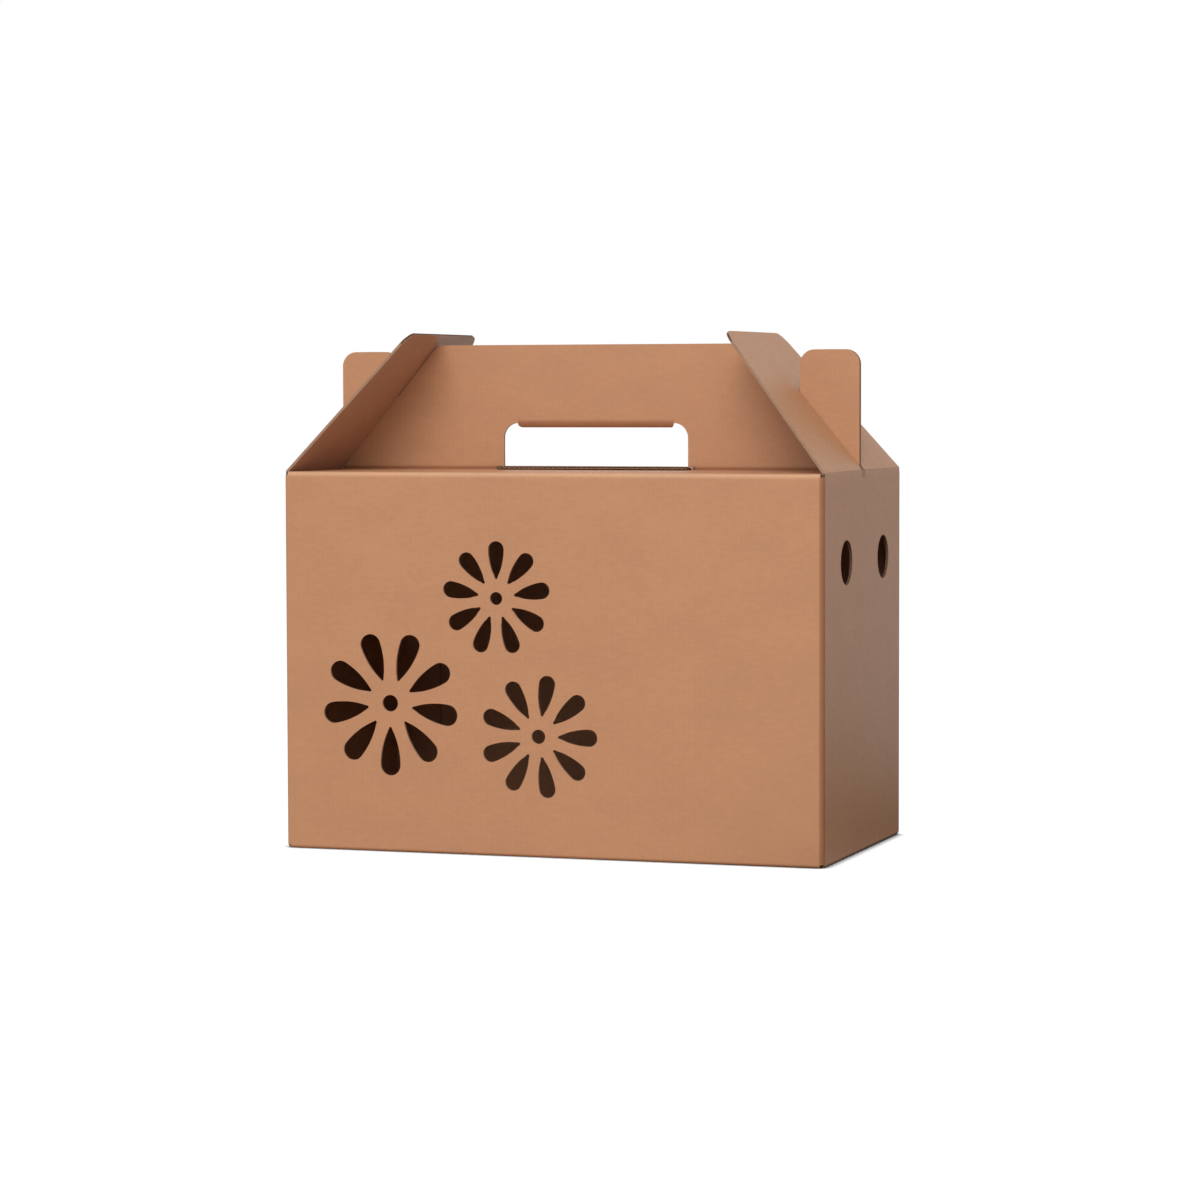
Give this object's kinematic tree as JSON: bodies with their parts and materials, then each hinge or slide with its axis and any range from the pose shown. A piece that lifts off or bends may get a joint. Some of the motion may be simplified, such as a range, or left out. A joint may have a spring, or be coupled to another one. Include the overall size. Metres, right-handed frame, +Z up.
{
  "type": "gable-top carry carton",
  "caption": "Corrugated carry carton folded from one sheet, with a double handle, hooked sloping end flaps, flower-shaped cut-outs and round vents.",
  "frame": {"origin": "centre of the footprint, at the underside", "axes": "+Z up, X along the length, -Y towards the wall with the flower cut-outs"},
  "size_m": [0.34, 0.18, 0.314],
  "materials": {
    "kraft_board": "uncoated brown kraft corrugated board, matt"
  },
  "bodies": {
    "root": {"carton": "kraft_board"}
  },
  "joints": []
}
